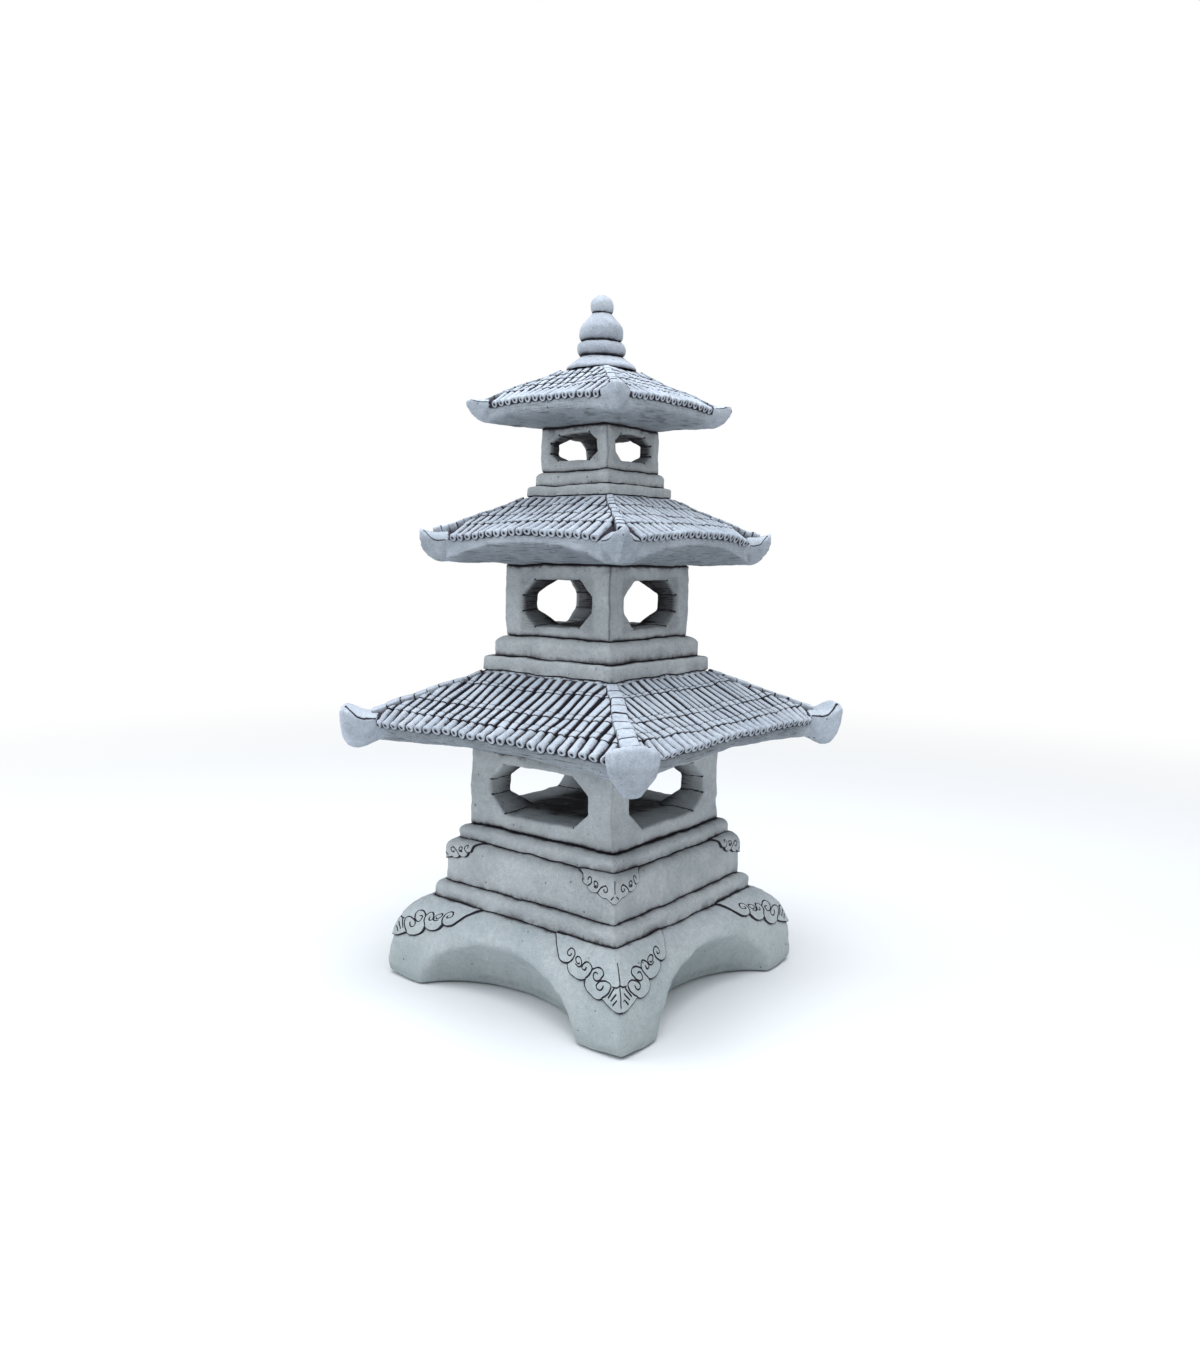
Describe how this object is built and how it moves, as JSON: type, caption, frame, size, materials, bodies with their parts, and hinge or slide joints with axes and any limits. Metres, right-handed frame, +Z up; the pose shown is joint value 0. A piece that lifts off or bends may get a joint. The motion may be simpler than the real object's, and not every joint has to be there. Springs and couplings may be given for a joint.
{
  "type": "garden pagoda",
  "caption": "Square tiered garden pagoda of stacked castings: tiled roofs with upturned corner horns, windows through each storey, a turned finial and a scooped foot to stand on.",
  "frame": {"origin": "middle of the foot's underside, on the ground", "axes": "+Z up; the front face looks along -Y and the right face along +X; the four sides are alike"},
  "size_m": [0.5642, 0.5642, 1],
  "materials": {
    "foot_concrete": "pale grey cast concrete, greenish near the ground, dark antiquing in the hollows",
    "body_concrete": "pale blue-grey cast concrete with pores, brown smudges under the mouldings",
    "roof_concrete": "blue-grey cast concrete, near-black antiquing between the tiles"
  },
  "bodies": {
    "root": {"foot_base": "foot_concrete", "lower_moulding": "body_concrete", "dado": "body_concrete", "upper_moulding": "body_concrete", "lower_house": "body_concrete", "middle_step": "body_concrete", "middle_plinth": "body_concrete", "middle_house": "body_concrete", "upper_step": "body_concrete", "upper_plinth": "body_concrete", "upper_house": "body_concrete", "lower_roof": "roof_concrete", "lower_hip_ridge_front_right": "roof_concrete", "lower_hip_ridge_back_right": "roof_concrete", "lower_hip_ridge_back_left": "roof_concrete", "lower_hip_ridge_front_left": "roof_concrete", "lower_horn_front_right": "roof_concrete", "lower_horn_back_right": "roof_concrete", "lower_horn_back_left": "roof_concrete", "lower_horn_front_left": "roof_concrete", "middle_roof": "roof_concrete", "middle_hip_ridge_front_right": "roof_concrete", "middle_hip_ridge_back_right": "roof_concrete", "middle_hip_ridge_back_left": "roof_concrete", "middle_hip_ridge_front_left": "roof_concrete", "middle_horn_front_right": "roof_concrete", "middle_horn_back_right": "roof_concrete", "middle_horn_back_left": "roof_concrete", "middle_horn_front_left": "roof_concrete", "upper_roof": "roof_concrete", "upper_hip_ridge_front_right": "roof_concrete", "upper_hip_ridge_back_right": "roof_concrete", "upper_hip_ridge_back_left": "roof_concrete", "upper_hip_ridge_front_left": "roof_concrete", "upper_horn_front_right": "roof_concrete", "upper_horn_back_right": "roof_concrete", "upper_horn_back_left": "roof_concrete", "upper_horn_front_left": "roof_concrete", "finial_collar": "roof_concrete", "finial_ring": "roof_concrete", "finial_bulb": "roof_concrete", "finial_tip": "roof_concrete"}
  },
  "joints": []
}
